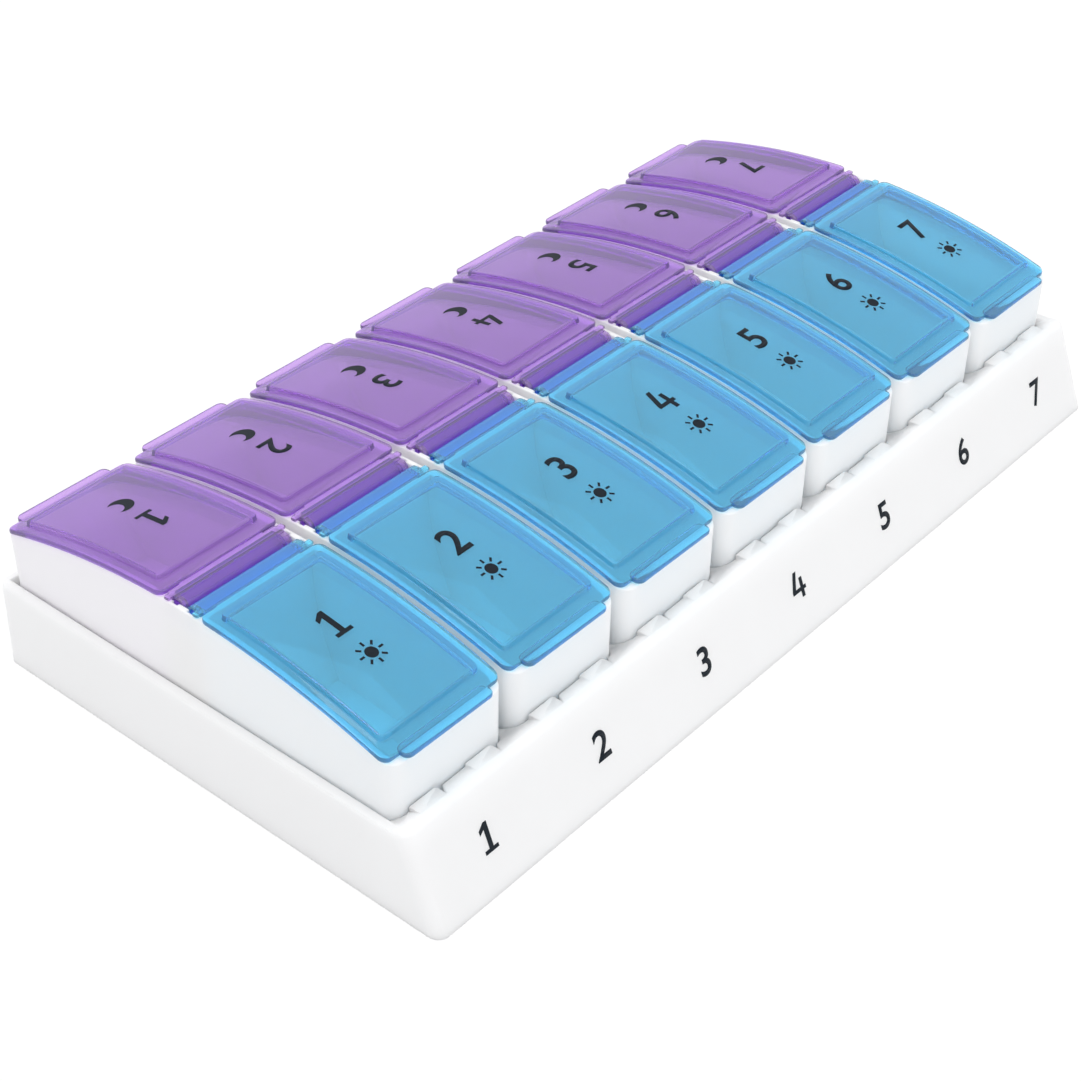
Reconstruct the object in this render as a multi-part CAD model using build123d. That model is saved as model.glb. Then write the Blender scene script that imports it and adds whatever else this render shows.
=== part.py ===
from build123d import *

import os
from math import radians, sqrt, tan

# Weekly pill organizer: a tray that holds seven lift-out pods, each with a front and a rear lid.
# Millimetres. +X runs along the week, -Y is the front with the sloped face, +Z is up.
# The origin is on the table, under the middle of the tray's footprint.
# Each pod and lid is drawn about its own pod's hinge line, which is local Y = 0, and then moved to its bay.

# Pods
pod_count = 7
pod_width = 29.0  # across X, at the rim
pod_depth = 101.2  # along Y, at the rim
pod_draft_angle = 0.5
pod_corner_radius = 3.0
pod_wall = 1.6
pod_floor = 1.4
pod_inner_radius = 1.8
rim_apex_height = 38.4  # above the table, on the hinge line
rim_arc_radius = 167.0

# Hinge between the two lids of a pod
barrel_radius = 1.85
barrel_gap = 0.3  # between the front and the rear barrel
barrel_side_clearance = 0.35
barrel_end_clearance = 0.15
hinge_cheek = 1.2  # pod wall at each end of the barrels
hinge_rib = 1.6  # pod wall between the hinge trough and a compartment
pin_radius = 0.6
pin_clearance = 0.05
pin_engagement = 0.6
pin_sides = 8

# Lids
lid_seat_gap = 0.15
flange_overhang = 0.2  # past the pod on each side
flange_setback = 1.2  # from the pod's end face to the flange's outer edge
flange_lap = 0.8  # from the hinge trough to the flange's inner edge
flange_thickness = 0.9
flange_corner_radius = 1.8
panel_side_margin = 2.4  # from the flange's side edges
panel_margin = 3.0  # from the flange's inner and outer edges
panel_rise = 1.1
panel_wall = 0.9
tab_side_margin = 3.7  # from the flange's side edges
tab_reach = 1.9
tab_thickness = 0.9
tab_drop = 0.1
tab_chamfer = 0.9
plate_thickness = 0.55
plate_neck_margin = 4.4  # from the flange's side edges
plate_notch = 0.7
plate_ear_depth = 1.25  # of the plate's ends that reach over the pod's hinge cheeks
plate_ear_margin = 0.1  # from the pod's sides

# Tray
tray_floor = 2.0
bay_clearance = 0.2  # on each side of a pod's rim size
divider = 1.6  # between two bays
divider_length = 5.0  # of the ribs that keep the pods apart, at the front and the rear wall
end_wall = 2.2
end_lean = 0.2
rear_wall = 1.3
rear_lean = 0.6
rim_height = 19.3
ledge_height = 20.2
ledge_depth = 4.4  # from the bays to the shoulder
front_run = 7.8  # how far the front face leans out
shoulder_radius = 1.8
tray_corner_radius = 2.5
tongue_width = 6.5
tongue_spacing = 14.1
tongue_offset = -0.5  # of each pair of tongues from its pod's middle
tongue_corner = 0.6
slot_width = 1.85  # beside each tongue, at the bays
slot_depth = 2.6
ramp_run = 2.75
inner_ramp_slope = 0.3  # between a pod's two tongues
outer_ramp_slope = 0.45  # between two pods, and at the ends
front_wall = 2.0

# Sizes that follow
pod_pitch = pod_width + 2 * bay_clearance + divider
pod_height = rim_apex_height - tray_floor
pod_taper = tan(radians(pod_draft_angle)) * pod_height
barrel_offset = barrel_radius + barrel_gap / 2
trough_half_depth = barrel_offset + barrel_radius + barrel_side_clearance
trough_half_length = pod_width / 2 - hinge_cheek
compartment_start = trough_half_depth + hinge_rib
flange_width = pod_width + 2 * flange_overhang
flange_reach = pod_depth / 2 - flange_setback
flange_inset = trough_half_depth + flange_lap
panel_half_width = flange_width / 2 - panel_side_margin
tab_half_width = flange_width / 2 - tab_side_margin
neck_half_width = flange_width / 2 - plate_neck_margin
plate_top = rim_apex_height + lid_seat_gap + plate_thickness
barrel_height = plate_top - barrel_radius - 0.1
bay_width = pod_width + 2 * bay_clearance
bay_depth = pod_depth + 2 * bay_clearance
tray_half_length = pod_pitch * (pod_count - 1) / 2 + bay_width / 2 + end_wall
front_reach = bay_depth / 2 + ledge_depth + front_run
rear_reach = bay_depth / 2 + rear_wall + rear_lean
hinge_line_y = (front_reach - rear_reach) / 2
far = 400.0  # longer than anything here, for cutting tools


def rounded_slab(x_size, y_low, y_high, radius, z_low, z_high):
    """Upright prism on a rounded rectangle that is centred in X."""
    outline = Pos(0, (y_low + y_high) / 2, z_low) * RectangleRounded(x_size, y_high - y_low, radius)
    return extrude(outline, amount=z_high - z_low)


def block(x_low, x_high, y_low, y_high, z_low, z_high):
    """Box between two corners."""
    middle = Pos((x_low + x_high) / 2, (y_low + y_high) / 2, (z_low + z_high) / 2)
    return middle * Box(x_high - x_low, y_high - y_low, z_high - z_low)


def leaning_block(foot, top, height):
    """Block whose sides lean, on the table: foot and top are (half X size, low Y, high Y)."""
    front_view = Polygon((-foot[0], 0), (foot[0], 0), (top[0], height), (-top[0], height), align=None)
    end_view = Polygon((foot[1], 0), (foot[2], 0), (top[2], height), (top[1], height), align=None)
    across = extrude(Plane.YZ * end_view, amount=far, both=True)
    return across & extrude(Plane.XZ * front_view, amount=far, both=True)


def upright_edges(solid):
    """The edges that climb most of a solid's height, which are its corners."""
    height = solid.bounding_box().size.Z
    return solid.edges().filter_by(lambda edge: edge.bounding_box().size.Z > height / 2)


def rod(x_low, x_high, y, z, radius):
    """Round rod along X."""
    return Pos((x_low + x_high) / 2, y, z) * Rot(0, 90, 0) * Cylinder(radius, x_high - x_low)


def under_arch(rise):
    """Everything under the pod's arched rim, raised by a distance square to the arc."""
    radius = rim_arc_radius + rise
    return rod(-pod_pitch, pod_pitch, 0, rim_apex_height - rim_arc_radius, radius)


def arch_band(low, high):
    """Curved layer between two heights above the arched rim."""
    return under_arch(high) - under_arch(low)


def arch_height(y, rise=0.0):
    """Height above the table of the arched rim, or of a surface above it, at a distance from the hinge line."""
    radius = rim_arc_radius + rise
    return rim_apex_height - rim_arc_radius + sqrt(radius**2 - y**2)


def make_pod():
    """One day's removable box: two compartments under an arched rim, and a trough for the hinge."""
    foot_half_width = pod_width / 2 - pod_taper
    foot_half_depth = pod_depth / 2 - pod_taper
    body = Pos(0, 0, tray_floor) * leaning_block(
        (foot_half_width, -foot_half_depth, foot_half_depth),
        (pod_width / 2, -pod_depth / 2, pod_depth / 2),
        pod_height,
    )
    body = fillet(upright_edges(body), pod_corner_radius) & under_arch(0)

    inside_width = pod_width - 2 * pod_wall
    compartment_end = pod_depth / 2 - pod_wall
    for side in (-1, 1):
        start, end = sorted((side * compartment_start, side * compartment_end))
        cavity = block(
            -inside_width / 2, inside_width / 2, start, end, tray_floor + pod_floor, rim_apex_height + 1
        )
        end_edges = cavity.edges().filter_by(Axis.Z).group_by(Axis.Y)[0 if side < 0 else -1]
        body -= fillet(end_edges, pod_inner_radius)

    trough_floor = barrel_height - barrel_radius - barrel_side_clearance
    body -= block(
        -trough_half_length,
        trough_half_length,
        -trough_half_depth,
        trough_half_depth,
        trough_floor,
        rim_apex_height + 1,
    )
    # The bridge between the compartments is hollow from below, so that its walls stay thin
    hollow_half_depth = compartment_start - pod_wall
    body -= block(
        -inside_width / 2,
        inside_width / 2,
        -hollow_half_depth,
        hollow_half_depth,
        0,
        trough_floor - pod_wall,
    )
    # The lid pins drop into slots that are open at the top of the rim
    slot_end = trough_half_length + pin_engagement
    slot_half_width = pin_radius + pin_clearance
    for side in (-1, 1):
        slot_middle = side * barrel_offset
        body -= block(
            -slot_end,
            slot_end,
            slot_middle - slot_half_width,
            slot_middle + slot_half_width,
            barrel_height - slot_half_width,
            rim_apex_height + 1,
        )
    return body.solid()


def make_front_lid():
    """The front lid: arched flange, raised hollow panel, finger tab, and the hinge plate with its barrel."""
    flange_bottom = lid_seat_gap
    flange_top = flange_bottom + flange_thickness
    panel_top = flange_top + panel_rise
    flange = rounded_slab(flange_width, -flange_reach, -flange_inset, flange_corner_radius, 0, far)
    lid = flange & arch_band(flange_bottom, flange_top)

    panel_outer = -flange_reach + panel_margin
    panel_inner = -flange_inset - panel_margin
    panel = block(-panel_half_width, panel_half_width, panel_outer, panel_inner, 0, far)
    lid += panel & arch_band(flange_bottom, panel_top)
    hollow = block(
        -panel_half_width + panel_wall,
        panel_half_width - panel_wall,
        panel_outer + panel_wall,
        panel_inner - panel_wall,
        0,
        far,
    )
    lid -= hollow & arch_band(-1, panel_top - panel_wall)

    tab_top = arch_height(flange_reach, flange_top) - tab_drop
    tab = block(
        -tab_half_width,
        tab_half_width,
        -flange_reach - tab_reach,
        -flange_reach + panel_margin / 2,
        tab_top - tab_thickness,
        tab_top,
    )
    outer_corners = tab.edges().filter_by(Axis.Z).group_by(Axis.Y)[0]
    lid += chamfer(outer_corners, tab_chamfer) - under_arch(flange_bottom)

    barrel_end = trough_half_length - barrel_end_clearance
    plate_edge = flange_inset - plate_notch
    plate = block(-barrel_end, barrel_end, -plate_edge, -barrel_offset, 0, far)
    neck_end = flange_inset + flange_corner_radius
    neck = block(-neck_half_width, neck_half_width, -neck_end, -plate_edge, 0, far)
    ear_end = pod_width / 2 - plate_ear_margin
    ears = block(-ear_end, ear_end, -plate_edge, -plate_edge + plate_ear_depth, 0, far)
    lid += (plate + ears + neck) & arch_band(flange_bottom, flange_bottom + plate_thickness)
    lid += rod(-barrel_end, barrel_end, -barrel_offset, barrel_height, barrel_radius)
    pin_end = trough_half_length + pin_engagement - barrel_end_clearance
    pin_outline = Plane.YZ * Pos(-barrel_offset, barrel_height) * RegularPolygon(pin_radius, pin_sides)
    lid += extrude(pin_outline, amount=pin_end, both=True)
    return lid.solid()


def make_tray():
    """The tray: drafted walls, a sloped front face, seven bays, and grip tongues along the front seam."""
    foot_half_depth = (front_reach + rear_reach) / 2
    foot_half_length = tray_half_length + end_lean
    bay_front = hinge_line_y - bay_depth / 2
    bay_rear = hinge_line_y + bay_depth / 2
    tray = leaning_block(
        (foot_half_length, -foot_half_depth, foot_half_depth),
        (tray_half_length, bay_front - ledge_depth, bay_rear + rear_wall),
        ledge_height,
    )
    tray = fillet(upright_edges(tray), tray_corner_radius)
    tray = fillet(tray.faces().sort_by(Axis.Z)[-1].edges(), shoulder_radius)

    bay = block(-bay_width / 2, bay_width / 2, bay_front, bay_rear, tray_floor, ledge_height + 1)
    front_corners = bay.edges().filter_by(Axis.Z).group_by(Axis.Y)[0]
    bay = fillet(front_corners, pod_corner_radius + bay_clearance)
    for day in range(pod_count):
        tray -= Pos(day_x(day), 0, 0) * bay
    end_of_bays = day_x(pod_count - 1) + bay_width / 2
    tray -= block(
        -end_of_bays,
        end_of_bays,
        bay_front + divider_length,
        bay_rear - divider_length,
        tray_floor,
        ledge_height + 1,
    )

    # The end and rear rims are lower than the front ledge, which runs down to them
    ramp_start = bay_front - ramp_run
    ramp_end = bay_front + divider_length
    rim_start = ramp_start + (ledge_height - rim_height) / outer_ramp_slope
    rim_profile = Polygon(
        (ramp_start, ledge_height),
        (rim_start, rim_height),
        (far, rim_height),
        (far, ledge_height + 1),
        (ramp_start, ledge_height + 1),
        align=None,
    )
    for start in (-far, end_of_bays):
        tray -= run_along_x(rim_profile, start, start + far - end_of_bays)
    tray -= block(-far, far, ramp_end, far, rim_height, far)

    # Ramps between the grip tongues: each runs down from the ledge to the pods
    inner_ramp = ramp_profile(ramp_start, ramp_end, inner_ramp_slope)
    outer_ramp = ramp_profile(ramp_start, ramp_end, outer_ramp_slope)
    first_tongue = tongue_offset - (tongue_spacing + tongue_width) / 2
    second_tongue = first_tongue + tongue_spacing
    for day in range(pod_count):
        pod_x = day_x(day)
        tray -= run_along_x(inner_ramp, pod_x + first_tongue + tongue_width, pod_x + second_tongue)
    for day in range(pod_count - 1):
        gap_start = day_x(day) + second_tongue + tongue_width
        tray -= run_along_x(outer_ramp, gap_start, day_x(day + 1) + first_tongue)
    tray -= run_along_x(outer_ramp, -end_of_bays, day_x(0) + first_tongue)
    last_gap = day_x(pod_count - 1) + second_tongue + tongue_width
    tray -= run_along_x(outer_ramp, last_gap, end_of_bays)

    # A pointed slot beside each tongue lets it flex
    slot = Polygon(
        (-tongue_corner, bay_front + 1),
        (-tongue_corner, bay_front),
        (0, bay_front - tongue_corner),
        (0, ramp_start),
        (slot_width, bay_front),
        (slot_width, bay_front + 1),
        align=None,
    )
    slot = Pos(0, 0, ledge_height - slot_depth) * extrude(slot, amount=far)
    for day in range(pod_count):
        for tongue in (first_tongue, second_tongue):
            tray -= Pos(day_x(day) + tongue + tongue_width, 0, 0) * slot

    # The front wedge is hollow from below, with a rib between the days
    lean = front_run / ledge_height
    outer_foot = -foot_half_depth + front_wall
    inner_edge = bay_front - front_wall
    ceiling = ledge_height - slot_depth - front_wall
    wedge = Polygon(
        (outer_foot, 0),
        (inner_edge, 0),
        (inner_edge, ceiling),
        (outer_foot + lean * ceiling, ceiling),
        align=None,
    )
    rib_half = front_wall / 2
    for day in range(pod_count):
        start = day_x(day) - pod_pitch / 2 + rib_half
        tray -= run_along_x(wedge, start, start + pod_pitch - 2 * rib_half)
    return tray.solid()


def ramp_profile(start, end, slope):
    """What a ramp takes off the ledge, as (Y, Z) points: it runs down from start to end."""
    return Polygon(
        (start, ledge_height),
        (end, ledge_height - slope * (end - start)),
        (end, ledge_height + 1),
        (start, ledge_height + 1),
        align=None,
    )


def run_along_x(profile, x_low, x_high):
    """A profile drawn as (Y, Z) points, run along X."""
    return Pos(x_low, 0, 0) * extrude(Plane.YZ * profile, amount=x_high - x_low)


def day_x(day):
    """X of a pod's middle, counted from the first day at -X."""
    return (day - (pod_count - 1) / 2) * pod_pitch


os.makedirs("parts", exist_ok=True)
pod = make_pod()
front_lid = make_front_lid()
rear_lid = Rot(0, 0, 180) * front_lid
export_step(make_tray(), "parts/tray.step")
for day in range(pod_count):
    bay_place = Pos(day_x(day), hinge_line_y, 0)
    number = day + 1
    export_step(bay_place * pod, f"parts/day_{number}_pod.step")
    export_step(bay_place * front_lid, f"parts/day_{number}_front_lid.step")
    export_step(bay_place * rear_lid, f"parts/day_{number}_rear_lid.step")
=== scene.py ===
"""Weekly pill organizer: a white tray with seven lift-out pods, blue front lids and purple rear lids.

The tray and pods are the CAD solids with softened edges. The lids are moulded anew with their fine
edges, hollow panels and hinge barrels, each in the place of its CAD solid. Metres, +Z up, -Y the front.
"""

from math import atan2, cos, hypot, pi, radians, sin, sqrt

import bmesh
import bpy
from mathutils import Matrix, Vector


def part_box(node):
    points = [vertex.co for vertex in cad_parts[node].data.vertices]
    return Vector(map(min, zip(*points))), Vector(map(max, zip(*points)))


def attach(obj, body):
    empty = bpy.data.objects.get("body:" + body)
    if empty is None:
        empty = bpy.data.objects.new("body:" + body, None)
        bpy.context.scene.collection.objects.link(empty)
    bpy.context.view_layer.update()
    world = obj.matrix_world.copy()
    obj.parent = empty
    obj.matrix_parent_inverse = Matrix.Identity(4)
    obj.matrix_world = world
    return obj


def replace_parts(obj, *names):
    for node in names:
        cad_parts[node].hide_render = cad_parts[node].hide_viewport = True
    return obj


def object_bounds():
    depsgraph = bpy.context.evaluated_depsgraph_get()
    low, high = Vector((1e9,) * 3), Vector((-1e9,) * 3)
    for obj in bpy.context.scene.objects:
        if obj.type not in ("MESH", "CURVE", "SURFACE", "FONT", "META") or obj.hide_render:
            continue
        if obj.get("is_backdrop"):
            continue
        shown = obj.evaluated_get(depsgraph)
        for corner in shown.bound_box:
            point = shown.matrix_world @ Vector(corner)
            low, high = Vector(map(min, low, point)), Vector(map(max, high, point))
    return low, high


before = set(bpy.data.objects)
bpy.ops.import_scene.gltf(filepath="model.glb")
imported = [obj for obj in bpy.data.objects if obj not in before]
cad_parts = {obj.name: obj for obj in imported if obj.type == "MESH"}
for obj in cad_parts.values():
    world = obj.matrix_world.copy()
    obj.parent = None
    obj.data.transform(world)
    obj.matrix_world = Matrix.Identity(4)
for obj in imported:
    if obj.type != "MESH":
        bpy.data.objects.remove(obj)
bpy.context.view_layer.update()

MM = 0.001
DAYS = range(1, 8)
LID_SIDES = ("front", "rear")

# Where the tray, the first pod and its front lid stand, read from their CAD solids
pod_low, pod_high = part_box("day_1_pod")
lid_low, lid_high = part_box("day_1_front_lid")
tray_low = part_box("tray")[0]
hinge_line_y = (pod_low.y + pod_high.y) / 2
rim_apex_height = pod_high.z
flange_half_width = (lid_high.x - lid_low.x) / 2
tab_reach = hinge_line_y - lid_low.y

# Lid sizes. Distances run outwards from the hinge line, heights square to the arched rim.
rim_arc_radius = 167.0 * MM
lid_seat_gap = 0.15 * MM
smallest_corner = 0.05 * MM
flange_thickness = 0.9 * MM
panel_rise = 1.1 * MM
panel_wall = 0.9 * MM
flange_near = 5.0 * MM
flange_far = 49.4 * MM
flange_corner = 1.8 * MM
panel_side_margin = 2.4 * MM
panel_margin = 3.0 * MM
panel_corner = 1.1 * MM
tab_half_width = 11.0 * MM
tab_corner = 1.4 * MM
tab_thickness = 0.9 * MM
tab_drop = 0.1 * MM  # below the flange's top
plate_thickness = 0.55 * MM
plate_half_width = 13.15 * MM
plate_near = 2.0 * MM
plate_far = 4.3 * MM
plate_corner = 0.35 * MM
plate_overlap = 0.4 * MM
ear_half_width = 14.4 * MM
ear_near = 3.05 * MM
neck_half_width = 10.3 * MM
neck_overlap = 0.3 * MM
barrel_radius = 1.85 * MM
barrel_bore = 1.35 * MM
barrel_core_half_length = 11.9 * MM
barrel_chamfer = 0.12 * MM
barrel_offset = 2.0 * MM
barrel_height = 37.15 * MM
web_far = 4.1 * MM
web_corner = 0.15 * MM
pin_radius = 0.6 * MM
pin_half_length = 13.75 * MM

# Printed signs
numeral_height = 6.8 * MM
numeral_distance = 23.2 * MM
symbol_distance = 32.6 * MM
sun_radius = 2.8 * MM
moon_radius = 2.6 * MM
moon_horn_angle = radians(48)
moon_bite_shift = 0.62 * moon_radius
moon_steps = 24
face_numeral_height = 6.0 * MM
face_numeral_climb = 11.1 * MM
ink_thickness = 0.02 * MM
sign_bands = 12
font_cap_height = 0.73
numeral_boldness = 0.025  # as a share of its height

# Front face of the tray, as it climbs from the foot to the ledge
front_lean = 7.8 * MM
front_climb = 20.2 * MM

# Rounded edges and clean meshes
edge_softness = 0.25 * MM
shortest_soft_edge = 4.5 * MM  # on the tray
rounded_angle = radians(32)  # convex edges sharper than this are rounded
flat_angle = radians(1.0)  # faces that bend less than this are merged
sharp_angle_of_lid = radians(50)  # shading breaks at edges sharper than this
sharp_angle_of_body = radians(40)
solid_merge = 0.02 * MM
sign_merge = 0.01 * MM
horn_merge = 0.001 * MM
sliver_size = 0.002 * MM

# Plastics and ink: colours as red, green and blue, density per metre
whites = ((0.915, 0.912, 0.914), (0.940, 0.936, 0.936))
blue, blue_depth = (0.40, 0.91, 1.0), (0.02, 0.60, 0.97)
purple, purple_depth = (0.80, 0.64, 0.95), (0.59, 0.02, 0.88)
tint_density = 440.0
inks = ((0.004, 0.008, 0.014), (0.010, 0.016, 0.024))

# Studio
floor_reach = 4.0
floor_gap = 0.02 * MM
floor_tone = (0.88, 0.88, 0.88)
floor_roughness = 0.9
floor_glow = 1.04
floor_glow_share = 0.86
world_tone = (0.985, 0.99, 1.0)
world_strength = 0.865
lamp_size = 0.5
camera_place = (-0.29113, -0.23292, 0.27505)
camera_turn = (radians(53.063), radians(-0.303), radians(-49.532))
camera_sensor = 36.0
camera_lens = 71.77


def arch_height(distance, rise):
    """Height above the table of a surface that runs a given rise above the arched rim."""
    radius = rim_arc_radius + rise
    return rim_apex_height - rim_arc_radius + sqrt(radius**2 - distance**2)


# Meshes


def new_object(name, data):
    """A new object in the scene, at the origin."""
    piece = bpy.data.objects.new(name, data)
    bpy.context.scene.collection.objects.link(piece)
    return piece


def mesh_from(bm, name):
    """A new mesh with a bmesh's form. The bmesh is freed."""
    mesh = bpy.data.meshes.new(name)
    bm.to_mesh(mesh)
    bm.free()
    return mesh


def object_from(bm, name):
    """A new object with a bmesh's form, its faces turned outwards and smooth."""
    bmesh.ops.recalc_face_normals(bm, faces=bm.faces)
    for face in bm.faces:
        face.smooth = True
    return new_object(name, mesh_from(bm, name))


def applied(piece):
    """Bakes a piece's modifiers into its mesh."""
    depsgraph = bpy.context.evaluated_depsgraph_get()
    mesh = bpy.data.meshes.new_from_object(piece.evaluated_get(depsgraph))
    piece.modifiers.clear()
    piece.data = mesh
    return piece


def without_slivers(mesh):
    """Takes faces and edges that have no size out of a mesh."""
    bm = bmesh.new()
    bm.from_mesh(mesh)
    bmesh.ops.dissolve_degenerate(bm, dist=sliver_size, edges=bm.edges)
    bm.to_mesh(mesh)
    bm.free()


def half_outline(half_width, near, far, corner, corner_steps=6, side_steps=14):
    """Right half of a rounded rectangle, as (x, distance) points from the hinge side outwards."""
    points = []
    for step in range(corner_steps + 1):
        turn = radians(90) * step / corner_steps
        points.append((half_width - corner + corner * sin(turn), near + corner - corner * cos(turn)))
    for step in range(1, side_steps):
        points.append((half_width, near + corner + (far - near - 2 * corner) * step / side_steps))
    for step in range(corner_steps + 1):
        turn = radians(90) * step / corner_steps
        points.append((half_width - corner + corner * cos(turn), far - corner + corner * sin(turn)))
    return points


def inset_outline(half_width, near, far, corner, inset):
    """half_outline drawn in by an inset, with its corners tightened to match."""
    return half_outline(half_width - inset, near + inset, far - inset, max(corner - inset, smallest_corner))


def add_loop(bm, outline, height):
    """A closed loop of vertices on a half outline and its mirror image.

    Height is a function of the distance from the hinge line.
    """
    right = [bm.verts.new((x, -distance, height(distance))) for x, distance in outline]
    left = [bm.verts.new((-x, -distance, height(distance))) for x, distance in outline]
    return right + left[::-1]


def skin(bm, loops):
    """Joins loops in a row with quads and closes both ends with strips that run across."""
    for lower, upper in zip(loops, loops[1:]):
        count = len(lower)
        for i in range(count):
            j = (i + 1) % count
            bm.faces.new((lower[i], lower[j], upper[j], upper[i]))
    for end in (loops[0], loops[-1]):
        count = len(end)
        for i in range(count // 2 - 1):
            bm.faces.new((end[i], end[i + 1], end[count - 2 - i], end[count - 1 - i]))


def moulded_flange():
    """The arched flange with its raised panel, hollow from below."""
    flange_top = lid_seat_gap + flange_thickness
    panel_top = flange_top + panel_rise
    flange = (flange_half_width, flange_near, flange_far, flange_corner)
    panel = (
        flange_half_width - panel_side_margin,
        flange_near + panel_margin,
        flange_far - panel_margin,
        panel_corner,
    )
    hollow = (panel[0] - panel_wall, panel[1] + panel_wall, panel[2] - panel_wall, panel_corner / 2)
    # (form, inset, rise), from the middle of the panel over the edges to the ceiling of the hollow
    steps = [
        (panel, 0.60 * MM, panel_top),
        (panel, 0.30 * MM, panel_top - 0.01 * MM),
        (panel, 0.09 * MM, panel_top - 0.09 * MM),
        (panel, 0.00 * MM, panel_top - 0.30 * MM),
        (panel, -0.06 * MM, flange_top + 0.22 * MM),
        (panel, -0.13 * MM, flange_top + 0.06 * MM),
        (panel, -0.30 * MM, flange_top),
        (flange, 0.50 * MM, flange_top),
        (flange, 0.25 * MM, flange_top - 0.01 * MM),
        (flange, 0.07 * MM, flange_top - 0.08 * MM),
        (flange, 0.00 * MM, flange_top - 0.26 * MM),
        (flange, 0.00 * MM, lid_seat_gap + 0.20 * MM),
        (flange, 0.06 * MM, lid_seat_gap + 0.06 * MM),
        (flange, 0.20 * MM, lid_seat_gap),
        (hollow, -0.20 * MM, lid_seat_gap),
        (hollow, -0.05 * MM, lid_seat_gap + 0.06 * MM),
        (hollow, 0.00 * MM, lid_seat_gap + 0.20 * MM),
        (hollow, 0.00 * MM, panel_top - panel_wall - 0.30 * MM),
        (hollow, 0.10 * MM, panel_top - panel_wall - 0.08 * MM),
        (hollow, 0.30 * MM, panel_top - panel_wall),
    ]
    bm = bmesh.new()
    loops = []
    for form, inset, rise in steps:
        outline = inset_outline(*form, inset)
        loops.append(add_loop(bm, outline, lambda distance, rise=rise: arch_height(distance, rise)))
    skin(bm, loops)
    return object_from(bm, "flange")


def moulded_tab():
    """The flat finger tab that stands out past the flange."""
    top = arch_height(flange_far, lid_seat_gap + flange_thickness) - tab_drop
    bottom = top - tab_thickness
    form = (tab_half_width, flange_far - panel_margin / 2, tab_reach, tab_corner)
    # (inset, height)
    steps = [
        (0.45 * MM, top),
        (0.22 * MM, top - 0.01 * MM),
        (0.06 * MM, top - 0.07 * MM),
        (0.00 * MM, top - 0.24 * MM),
        (0.00 * MM, bottom + 0.20 * MM),
        (0.06 * MM, bottom + 0.06 * MM),
        (0.20 * MM, bottom),
    ]
    bm = bmesh.new()
    loops = [add_loop(bm, inset_outline(*form, inset), lambda distance, z=z: z) for inset, z in steps]
    skin(bm, loops)
    return object_from(bm, "tab")


def moulded_plate(name, half_width, near, far):
    """A thin stretch of the lid beside its hinge, which follows the arch."""
    # (inset, rise)
    steps = [
        (0.30 * MM, lid_seat_gap + plate_thickness),
        (0.12 * MM, lid_seat_gap + plate_thickness - 0.01 * MM),
        (0.00 * MM, lid_seat_gap + plate_thickness - 0.14 * MM),
        (0.00 * MM, lid_seat_gap + 0.12 * MM),
        (0.10 * MM, lid_seat_gap),
    ]
    bm = bmesh.new()
    loops = []
    for inset, rise in steps:
        outline = half_outline(half_width - inset, near, far, plate_corner, corner_steps=3, side_steps=2)
        loops.append(add_loop(bm, outline, lambda distance, rise=rise: arch_height(distance, rise)))
    skin(bm, loops)
    return object_from(bm, name)


def moulded_web():
    """The solid stretch that joins the barrel to the plate above it."""
    top = lid_seat_gap + plate_thickness / 2
    outline = half_outline(
        barrel_core_half_length, barrel_offset, web_far, web_corner, corner_steps=3, side_steps=2
    )
    bm = bmesh.new()
    loops = [
        add_loop(bm, outline, lambda distance: barrel_height + web_corner),
        add_loop(bm, outline, lambda distance: arch_height(distance, top)),
    ]
    skin(bm, loops)
    return object_from(bm, "web")


def turned_rod(name, profile, sides=40):
    """A rod about the barrel's axis, with a flat face at each end. Its profile is (x, radius) points."""
    bm = bmesh.new()
    rings = []
    for x, radius in profile:
        ring = []
        for side in range(sides):
            turn = 2 * pi * side / sides
            ring.append(
                bm.verts.new((x, -barrel_offset + radius * cos(turn), barrel_height + radius * sin(turn)))
            )
        rings.append(ring)
    for a, b in zip(rings, rings[1:]):
        for i in range(sides):
            j = (i + 1) % sides
            bm.faces.new((a[i], a[j], b[j], b[i]))
    bm.faces.new(rings[0])
    bm.faces.new(rings[-1])
    return object_from(bm, name)


def moulded_barrel():
    """The hinge barrel: solid in the middle, hollow at each end round its pin."""
    end = plate_half_width
    core = barrel_core_half_length
    pin_chamfer = pin_radius / 3
    # The ring just before each chamfer keeps the shading of the straight stretch even
    right = [
        (end - 3 * barrel_chamfer, barrel_radius),
        (end - barrel_chamfer, barrel_radius),
        (end, barrel_radius - barrel_chamfer),
        (end, barrel_bore),
        (core, barrel_bore),
        (core, pin_radius),
        (pin_half_length - 2 * pin_chamfer, pin_radius),
        (pin_half_length - pin_chamfer, pin_radius),
        (pin_half_length, pin_radius - pin_chamfer),
    ]
    left = [(-x, radius) for x, radius in reversed(right)]
    return turned_rod("barrel", left + right)


def united(base, others):
    """One skin round several overlapping pieces."""
    for other in others:
        union = base.modifiers.new("union", "BOOLEAN")
        union.operation = "UNION"
        union.solver = "EXACT"
        union.object = other
        applied(base)
        bpy.data.objects.remove(other)
    return base


def moulded_lid():
    """A whole front lid about its own pod's hinge line."""
    parts = [
        moulded_tab(),
        moulded_plate("plate", plate_half_width, plate_near, plate_far + plate_overlap),
        moulded_plate("ears", ear_half_width, ear_near, plate_far),
        moulded_plate("neck", neck_half_width, plate_far - neck_overlap, flange_near + flange_corner),
        moulded_web(),
        moulded_barrel(),
    ]
    lid = united(moulded_flange(), parts)
    without_slivers(lid.data)
    lid.data.set_sharp_from_angle(angle=sharp_angle_of_lid)
    return lid


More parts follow.
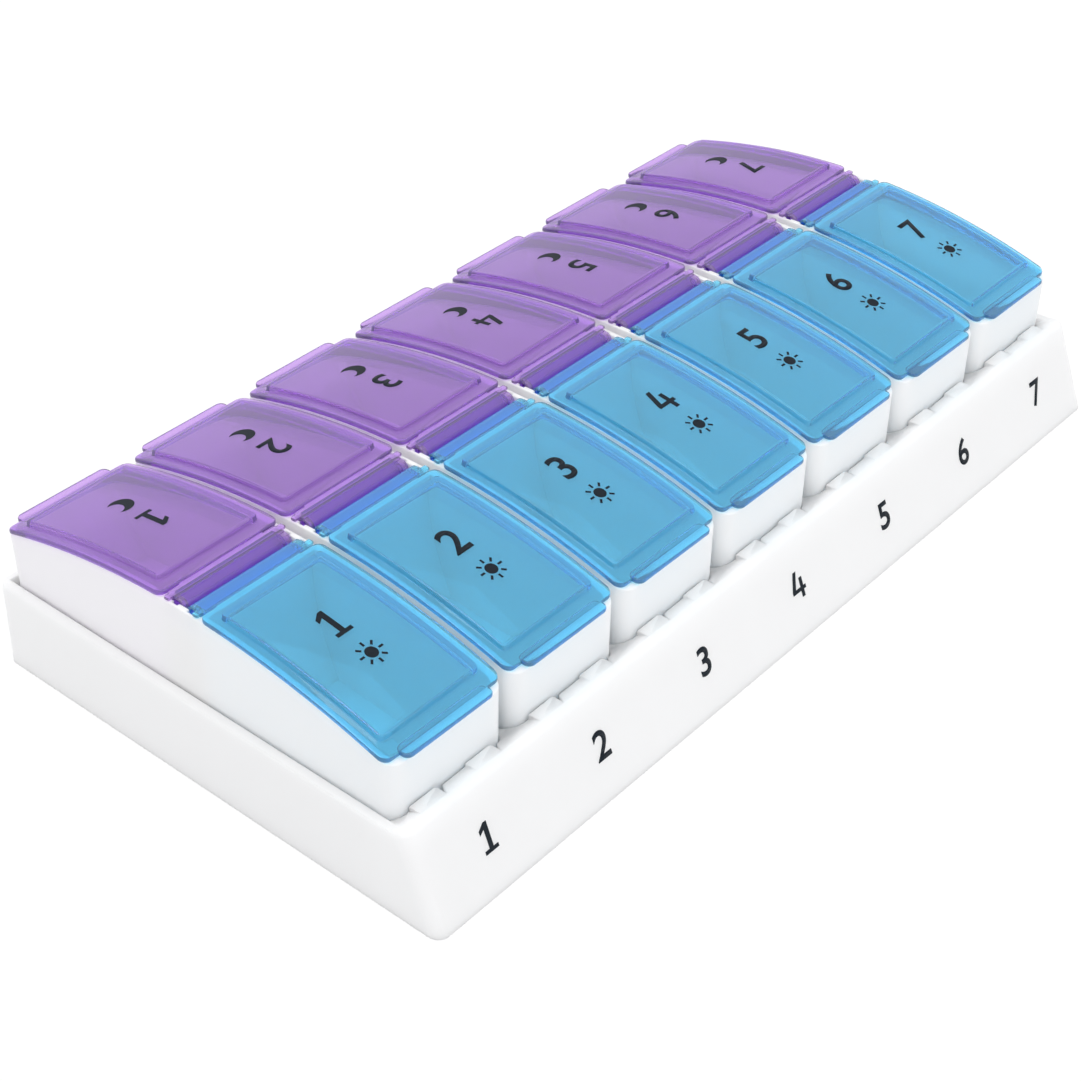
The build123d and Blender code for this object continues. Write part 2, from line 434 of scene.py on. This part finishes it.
def placed(mesh, day, side, name):
    """A copy of a mesh drawn for a front lid, moved to its day and turned round for a rear lid."""
    low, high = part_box(f"day_{day}_pod")
    turn = pi if side == "rear" else 0
    place = Matrix.Translation(((low.x + high.x) / 2, hinge_line_y, 0)) @ Matrix.Rotation(turn, 4, "Z")
    copy = mesh.copy()
    copy.transform(place)
    return new_object(name, copy)


def softened(node, shortest=0.0):
    """A copy of a CAD node with its triangles merged and its sharp outer edges rounded.

    Edges shorter than a given length stay sharp, so that a rounding doesn't fold over a small detail.
    """
    bm = bmesh.new()
    bm.from_mesh(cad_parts[node].data)
    bmesh.ops.remove_doubles(bm, verts=bm.verts, dist=solid_merge)
    bmesh.ops.dissolve_limit(bm, angle_limit=flat_angle, verts=bm.verts, edges=bm.edges)
    for face in bm.faces:
        face.smooth = True
    weight = bm.edges.layers.float.new("bevel_weight_edge")
    for edge in bm.edges:
        sharp = edge.is_convex and edge.calc_face_angle() > rounded_angle
        edge[weight] = float(sharp and edge.calc_length() > shortest)
    piece = new_object(node + "_moulding", mesh_from(bm, node))
    bevel = piece.modifiers.new("soft_edges", "BEVEL")
    bevel.width = edge_softness
    bevel.segments = 3
    bevel.limit_method = "WEIGHT"
    bevel.use_clamp_overlap = False
    applied(piece)
    without_slivers(piece.data)
    piece.data.set_sharp_from_angle(angle=sharp_angle_of_body)
    return piece


# Printed signs


# Numerals that a bold font closes up or leaves too plain, as outlines one unit high about the origin
drawn_numerals = {
    "1": (
        (-0.28, -0.50), (0.28, -0.50), (0.28, -0.37), (0.09, -0.37), (0.09, 0.50), (-0.05, 0.50),
        (-0.28, 0.32), (-0.28, 0.16), (-0.09, 0.28), (-0.09, -0.37), (-0.28, -0.37),
    ),
    "4": (
        (0.08, -0.50), (0.24, -0.50), (0.24, -0.26), (0.36, -0.26), (0.36, -0.12), (0.24, -0.12),
        (0.24, 0.22), (0.08, 0.22), (0.08, -0.12), (-0.17, -0.12), (0.02, 0.50), (-0.15, 0.50),
        (-0.36, -0.14), (-0.36, -0.26), (0.08, -0.26),
    ),
}


def outlined_mesh(outline, height):
    """One flat face inside an outline."""
    bm = bmesh.new()
    bm.faces.new([bm.verts.new((height * x, height * y, 0)) for x, y in outline])
    return mesh_from(bm, "numeral")


def numeral_mesh(text, height):
    """A numeral centred on the origin, lying in the XY plane."""
    if text in drawn_numerals:
        return outlined_mesh(drawn_numerals[text], height)
    curve = bpy.data.curves.new("numeral", "FONT")
    curve.body = text
    curve.size = height / font_cap_height
    curve.offset = height * numeral_boldness
    curve.resolution_u = 6
    carrier = new_object("numeral", curve)
    depsgraph = bpy.context.evaluated_depsgraph_get()
    mesh = bpy.data.meshes.new_from_object(carrier.evaluated_get(depsgraph))
    bpy.data.objects.remove(carrier)
    low = Vector([min(v.co[axis] for v in mesh.vertices) for axis in range(3)])
    high = Vector([max(v.co[axis] for v in mesh.vertices) for axis in range(3)])
    mesh.transform(Matrix.Translation(-(low + high) / 2))
    return mesh


def sun_group():
    """A disc in a ring of rays: one bar is placed at each point of a circle and turned outwards."""
    group = bpy.data.node_groups.new("sun", "GeometryNodeTree")
    interface = group.interface
    for name, kind, default in (
        ("Rays", "NodeSocketInt", 8),
        ("Ring Radius", "NodeSocketFloat", 2.0 * MM),
        ("Ray Length", "NodeSocketFloat", 1.0 * MM),
        ("Ray Width", "NodeSocketFloat", 0.5 * MM),
        ("Disc Radius", "NodeSocketFloat", 1.2 * MM),
    ):
        interface.new_socket(name=name, in_out="INPUT", socket_type=kind).default_value = default
    interface.new_socket(name="Ink", in_out="INPUT", socket_type="NodeSocketMaterial")
    interface.new_socket(name="Geometry", in_out="OUTPUT", socket_type="NodeSocketGeometry")
    nodes, links = group.nodes, group.links
    given = nodes.new("NodeGroupInput")
    result = nodes.new("NodeGroupOutput")
    ring = nodes.new("GeometryNodeMeshCircle")
    links.new(given.outputs["Rays"], ring.inputs["Vertices"])
    links.new(given.outputs["Ring Radius"], ring.inputs["Radius"])
    ray = nodes.new("GeometryNodeMeshGrid")
    ray.inputs["Vertices X"].default_value = 2
    ray.inputs["Vertices Y"].default_value = 2
    links.new(given.outputs["Ray Length"], ray.inputs["Size X"])
    links.new(given.outputs["Ray Width"], ray.inputs["Size Y"])
    place = nodes.new("GeometryNodeInputPosition")
    outwards = nodes.new("FunctionNodeAlignRotationToVector")
    outwards.axis = "X"
    links.new(place.outputs["Position"], outwards.inputs["Vector"])
    rays = nodes.new("GeometryNodeInstanceOnPoints")
    links.new(ring.outputs["Mesh"], rays.inputs["Points"])
    links.new(ray.outputs["Mesh"], rays.inputs["Instance"])
    links.new(outwards.outputs["Rotation"], rays.inputs["Rotation"])
    disc = nodes.new("GeometryNodeMeshCircle")
    disc.fill_type = "NGON"
    disc.inputs["Vertices"].default_value = 28
    links.new(given.outputs["Disc Radius"], disc.inputs["Radius"])
    both = nodes.new("GeometryNodeJoinGeometry")
    links.new(rays.outputs["Instances"], both.inputs["Geometry"])
    links.new(disc.outputs["Mesh"], both.inputs["Geometry"])
    real = nodes.new("GeometryNodeRealizeInstances")
    links.new(both.outputs["Geometry"], real.inputs["Geometry"])
    inked = nodes.new("GeometryNodeSetMaterial")
    links.new(real.outputs["Geometry"], inked.inputs["Geometry"])
    links.new(given.outputs["Ink"], inked.inputs["Material"])
    links.new(inked.outputs["Geometry"], result.inputs["Geometry"])
    return group


def sun_mesh(radius, material):
    """A flat sun that reaches out to a given radius, made by its geometry nodes."""
    piece = new_object("sun", bpy.data.meshes.new("sun"))
    rays = piece.modifiers.new("sun", "NODES")
    rays.node_group = sun_group()
    values = {
        "Rays": 8,
        "Ring Radius": 0.81 * radius,
        "Ray Length": 0.38 * radius,
        "Ray Width": 0.17 * radius,
        "Disc Radius": 0.46 * radius,
        "Ink": material,
    }
    for socket in rays.node_group.interface.items_tree:
        if socket.name in values:
            rays[socket.identifier] = values[socket.name]
    mesh = applied(piece).data
    bpy.data.objects.remove(piece)
    return mesh


def moon_mesh(radius):
    """A crescent between two arcs that meet at its horns."""
    horn, shift, steps = moon_horn_angle, moon_bite_shift, moon_steps
    bite = hypot(radius * cos(horn) - shift, radius * sin(horn))
    bite_turn = atan2(radius * sin(horn), radius * cos(horn) - shift)
    bm = bmesh.new()
    outer = []
    inner = []
    for step in range(steps + 1):
        a = horn + (2 * pi - 2 * horn) * step / steps
        b = bite_turn + (2 * pi - 2 * bite_turn) * step / steps
        outer.append(bm.verts.new((radius * cos(a), radius * sin(a), 0)))
        inner.append(bm.verts.new((shift + bite * cos(b), bite * sin(b), 0)))
    for i in range(steps):
        bm.faces.new((outer[i], outer[i + 1], inner[i + 1], inner[i]))
    bmesh.ops.remove_doubles(bm, verts=bm.verts, dist=horn_merge)
    return mesh_from(bm, "moon")


def printed(mesh, onto):
    """A flat sign as a thin layer of ink.

    onto gives a flat point's place on the surface and the way out of the surface there.
    """
    bm = bmesh.new()
    bm.from_mesh(mesh)
    # Narrow bands let the flat sign follow a curved surface
    reach = max(abs(v.co.y) for v in bm.verts)
    for band in range(1, sign_bands):
        level = -reach + 2 * reach * band / sign_bands
        geometry = bm.verts[:] + bm.edges[:] + bm.faces[:]
        bmesh.ops.bisect_plane(bm, geom=geometry, plane_co=(0, level, 0), plane_no=(0, 1, 0))
    bmesh.ops.remove_doubles(bm, verts=bm.verts, dist=sign_merge)
    bmesh.ops.triangulate(bm, faces=bm.faces)
    under = {}
    for vert in bm.verts[:]:
        place, way = onto(vert.co.copy())
        vert.co = place + way * ink_thickness
        under[vert] = bm.verts.new(place)
    rims = [edge for edge in bm.edges if edge.is_boundary]
    for face in bm.faces[:]:
        bm.faces.new([under[vert] for vert in reversed(face.verts)])
    for edge in rims:
        a, b = edge.verts
        bm.faces.new((a, b, under[b], under[a]))
    bmesh.ops.recalc_face_normals(bm, faces=bm.faces)
    return mesh_from(bm, mesh.name)


def onto_panel(distance):
    """Places a sign on a front lid's panel, upright as seen from the front."""
    panel_top = lid_seat_gap + flange_thickness + panel_rise

    def place(point):
        out = distance - point.y
        radius = rim_arc_radius + panel_top
        way = Vector((0, -out / radius, sqrt(1 - (out / radius) ** 2)))
        return Vector((point.x, -out, arch_height(out, panel_top))), way

    return place


def onto_front_face(point):
    """Places a sign on the tray's sloped front face."""
    slope = hypot(front_lean, front_climb)
    climb = face_numeral_climb + point.y
    y = tray_low.y + climb * front_lean / slope
    z = climb * front_climb / slope
    way = Vector((0, -front_climb / slope, front_lean / slope))
    return Vector((point.x, y, z)), way


# Materials


def new_material(name):
    """A material with its nodes, its links, its Principled shader and its output."""
    material = bpy.data.materials.new(name)
    material.use_nodes = True
    nodes = material.node_tree.nodes
    return material, nodes, material.node_tree.links, nodes["Principled BSDF"], nodes["Material Output"]


def moulded_surface_group():
    """Shared surface of moulded plastic: slow waves and fine grain as a normal, and a varied roughness."""
    group = bpy.data.node_groups.new("moulded_surface", "ShaderNodeTree")
    interface = group.interface
    for name, default in (
        ("Wave Scale", 40.0),
        ("Grain Scale", 2500.0),
        ("Wave Height", 0.1),
        ("Grain Height", 0.1),
        ("Roughness Low", 0.3),
        ("Roughness High", 0.4),
    ):
        socket = interface.new_socket(name=name, in_out="INPUT", socket_type="NodeSocketFloat")
        socket.default_value = default
    interface.new_socket(name="Roughness", in_out="OUTPUT", socket_type="NodeSocketFloat")
    interface.new_socket(name="Normal", in_out="OUTPUT", socket_type="NodeSocketVector")
    nodes, links = group.nodes, group.links
    given = nodes.new("NodeGroupInput")
    result = nodes.new("NodeGroupOutput")
    place = nodes.new("ShaderNodeTexCoord")
    wave = nodes.new("ShaderNodeTexNoise")
    grain = nodes.new("ShaderNodeTexNoise")
    wave.inputs["Detail"].default_value = 1.0
    grain.inputs["Detail"].default_value = 2.0
    for texture, scale in ((wave, "Wave Scale"), (grain, "Grain Scale")):
        links.new(place.outputs["Object"], texture.inputs["Vector"])
        links.new(given.outputs[scale], texture.inputs["Scale"])
    wave_bump = nodes.new("ShaderNodeBump")
    wave_bump.inputs["Distance"].default_value = 1.0 * MM
    grain_bump = nodes.new("ShaderNodeBump")
    grain_bump.inputs["Distance"].default_value = 0.02 * MM
    links.new(wave.outputs["Fac"], wave_bump.inputs["Height"])
    links.new(given.outputs["Wave Height"], wave_bump.inputs["Strength"])
    links.new(grain.outputs["Fac"], grain_bump.inputs["Height"])
    links.new(given.outputs["Grain Height"], grain_bump.inputs["Strength"])
    links.new(wave_bump.outputs["Normal"], grain_bump.inputs["Normal"])
    spread = nodes.new("ShaderNodeMapRange")
    links.new(wave.outputs["Fac"], spread.inputs["Value"])
    links.new(given.outputs["Roughness Low"], spread.inputs["To Min"])
    links.new(given.outputs["Roughness High"], spread.inputs["To Max"])
    links.new(spread.outputs["Result"], result.inputs["Roughness"])
    links.new(grain_bump.outputs["Normal"], result.inputs["Normal"])
    return group


moulded_surface = moulded_surface_group()


def add_moulded_surface(nodes, links, shader, **values):
    """Puts the shared surface into a material with its own values."""
    surface = nodes.new("ShaderNodeGroup")
    surface.node_tree = moulded_surface
    for name, value in values.items():
        surface.inputs[name.replace("_", " ").title()].default_value = value
    links.new(surface.outputs["Roughness"], shader.inputs["Roughness"])
    links.new(surface.outputs["Normal"], shader.inputs["Normal"])


def add_patchy_colour(nodes, links, shader, colours, scale, detail=2.0):
    """Gives a material a colour that drifts between two close ones."""
    place = nodes.new("ShaderNodeTexCoord")
    patches = nodes.new("ShaderNodeTexNoise")
    patches.inputs["Scale"].default_value = scale
    patches.inputs["Detail"].default_value = detail
    links.new(place.outputs["Object"], patches.inputs["Vector"])
    tone = nodes.new("ShaderNodeMix")
    tone.data_type = "RGBA"
    for socket, colour in zip("AB", colours):
        tone.inputs[socket].default_value = (*colour, 1.0)
    links.new(patches.outputs["Fac"], tone.inputs["Factor"])
    links.new(tone.outputs["Result"], shader.inputs["Base Color"])


def white_plastic():
    """Satin white plastic with a faint mottle and a little light scattered inside."""
    material, nodes, links, shader, _ = new_material("white_plastic")
    add_moulded_surface(
        nodes, links, shader, wave_height=0.05, grain_height=0.25, roughness_low=0.34, roughness_high=0.44
    )
    add_patchy_colour(nodes, links, shader, whites, scale=14.0, detail=3.0)
    shader.inputs["Specular IOR Level"].default_value = 0.45
    shader.inputs["Subsurface Weight"].default_value = 0.35
    shader.inputs["Subsurface Scale"].default_value = 4.0 * MM
    shader.inputs["Subsurface Radius"].default_value = (1.0, 1.0, 1.0)
    return material


def tinted_plastic(name, colour, tint):
    """See-through plastic, deeper in colour the farther light runs inside it. Lamps shine through it."""
    material, nodes, links, shader, output = new_material(name)
    add_moulded_surface(
        nodes, links, shader, wave_height=0.08, grain_height=0.04, roughness_low=0.02, roughness_high=0.05
    )
    shader.inputs["Base Color"].default_value = (*colour, 1.0)
    shader.inputs["Transmission Weight"].default_value = 0.86
    shader.inputs["IOR"].default_value = 1.49
    path = nodes.new("ShaderNodeLightPath")
    clear = nodes.new("ShaderNodeBsdfTransparent")
    clear.inputs["Color"].default_value = (*colour, 1.0)
    blend = nodes.new("ShaderNodeMixShader")
    links.new(path.outputs["Is Shadow Ray"], blend.inputs["Fac"])
    links.new(shader.outputs["BSDF"], blend.inputs[1])
    links.new(clear.outputs["BSDF"], blend.inputs[2])
    links.new(blend.outputs["Shader"], output.inputs["Surface"])
    depth = nodes.new("ShaderNodeVolumeAbsorption")
    depth.inputs["Color"].default_value = (*tint, 1.0)
    depth.inputs["Density"].default_value = tint_density
    links.new(depth.outputs["Volume"], output.inputs["Volume"])
    return material


def ink():
    """Matt printing ink, slightly uneven."""
    material, nodes, links, shader, _ = new_material("ink")
    add_moulded_surface(
        nodes, links, shader, wave_height=0.0, grain_height=0.3, roughness_low=0.42, roughness_high=0.56
    )
    add_patchy_colour(nodes, links, shader, inks, scale=900.0)
    shader.inputs["Specular IOR Level"].default_value = 0.15
    return material


white = white_plastic()
lid_plastic = {
    "front": tinted_plastic("blue_plastic", blue, blue_depth),
    "rear": tinted_plastic("purple_plastic", purple, purple_depth),
}
printing_ink = ink()


def dress(piece, material, body):
    """Gives a piece its material and its body."""
    piece.data.materials.clear()
    piece.data.materials.append(material)
    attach(piece, body)
    return piece


# Pieces

tray = softened("tray", shortest_soft_edge)
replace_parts(dress(tray, white, "tray"), "tray")

lid_pattern = moulded_lid()
sign_meshes = {
    "front": printed(sun_mesh(sun_radius, printing_ink), onto_panel(symbol_distance)),
    "rear": printed(moon_mesh(moon_radius), onto_panel(symbol_distance)),
}
for day in DAYS:
    pod_name = f"day_{day}_pod"
    pod = softened(pod_name)
    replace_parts(dress(pod, white, pod_name), pod_name)

    numeral = printed(numeral_mesh(str(day), numeral_height), onto_panel(numeral_distance))
    for side in LID_SIDES:
        lid_name = f"day_{day}_{side}_lid"
        lid = placed(lid_pattern.data, day, side, lid_name + "_moulding")
        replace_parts(dress(lid, lid_plastic[side], lid_name), lid_name)
        dress(placed(numeral, day, side, lid_name + "_numeral"), printing_ink, lid_name)
        dress(placed(sign_meshes[side], day, side, lid_name + "_sign"), printing_ink, lid_name)

    face_numeral = printed(numeral_mesh(str(day), face_numeral_height), onto_front_face)
    low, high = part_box(pod_name)
    face_numeral.transform(Matrix.Translation(((low.x + high.x) / 2, 0, 0)))
    dress(new_object(f"tray_numeral_{day}", face_numeral), printing_ink, "tray")
bpy.data.objects.remove(lid_pattern)


# Studio


def make_floor():
    """A white floor that the camera sees bright, with a faint shadow of the object."""
    bm = bmesh.new()
    bmesh.ops.create_grid(bm, x_segments=1, y_segments=1, size=floor_reach)
    bmesh.ops.translate(bm, vec=(0, 0, -floor_gap), verts=bm.verts)
    floor = object_from(bm, "floor")
    material, nodes, links, shader, output = new_material("floor")
    shader.inputs["Base Color"].default_value = (*floor_tone, 1.0)
    shader.inputs["Roughness"].default_value = floor_roughness
    path = nodes.new("ShaderNodeLightPath")
    glow = nodes.new("ShaderNodeEmission")
    glow.inputs["Strength"].default_value = floor_glow
    seen = nodes.new("ShaderNodeMath")
    seen.operation = "MAXIMUM"
    links.new(path.outputs["Is Camera Ray"], seen.inputs[0])
    links.new(path.outputs["Is Transmission Ray"], seen.inputs[1])
    share = nodes.new("ShaderNodeMath")
    share.operation = "MULTIPLY"
    share.inputs[1].default_value = floor_glow_share
    links.new(seen.outputs["Value"], share.inputs[0])
    blend = nodes.new("ShaderNodeMixShader")
    links.new(share.outputs["Value"], blend.inputs["Fac"])
    links.new(shader.outputs["BSDF"], blend.inputs[1])
    links.new(glow.outputs["Emission"], blend.inputs[2])
    links.new(blend.outputs["Shader"], output.inputs["Surface"])
    floor.data.materials.append(material)
    floor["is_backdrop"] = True


def make_world():
    """Soft light from all round. Past the floor's edge the camera sees a plain light grey."""
    world = bpy.data.worlds.new("studio")
    world.use_nodes = True
    bpy.context.scene.world = world
    nodes, links = world.node_tree.nodes, world.node_tree.links
    light = nodes["Background"]
    light.inputs["Color"].default_value = (*world_tone, 1.0)
    light.inputs["Strength"].default_value = world_strength
    backdrop = nodes.new("ShaderNodeBackground")
    backdrop.inputs["Strength"].default_value = 1.0
    path = nodes.new("ShaderNodeLightPath")
    blend = nodes.new("ShaderNodeMixShader")
    links.new(path.outputs["Is Camera Ray"], blend.inputs["Fac"])
    links.new(light.outputs["Background"], blend.inputs[1])
    links.new(backdrop.outputs["Background"], blend.inputs[2])
    links.new(blend.outputs["Shader"], nodes["World Output"].inputs["Surface"])


def make_lamp(name, place, power):
    """A square soft lamp that faces the middle of the object."""
    lamp = bpy.data.lights.new(name, "AREA")
    lamp.size = lamp_size
    lamp.energy = power
    holder = new_object(name, lamp)
    holder.location = place
    holder.rotation_euler = (-Vector(place)).to_track_quat("-Z", "Y").to_euler()


def make_camera():
    """A camera where the photo's stood."""
    camera = bpy.data.cameras.new("camera")
    camera.sensor_width = camera_sensor
    camera.lens = camera_lens
    camera.clip_start = 0.01
    camera.clip_end = 20.0
    holder = new_object("camera", camera)
    holder.location = camera_place
    holder.rotation_euler = camera_turn
    bpy.context.scene.camera = holder


make_floor()
make_world()
make_lamp("top_light", place=(-0.10, 0.05, 0.80), power=1.9)
make_lamp("front_light", place=(0.10, -0.70, 0.45), power=0.5)
make_camera()
bpy.context.scene.view_settings.view_transform = "Standard"

low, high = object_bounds()
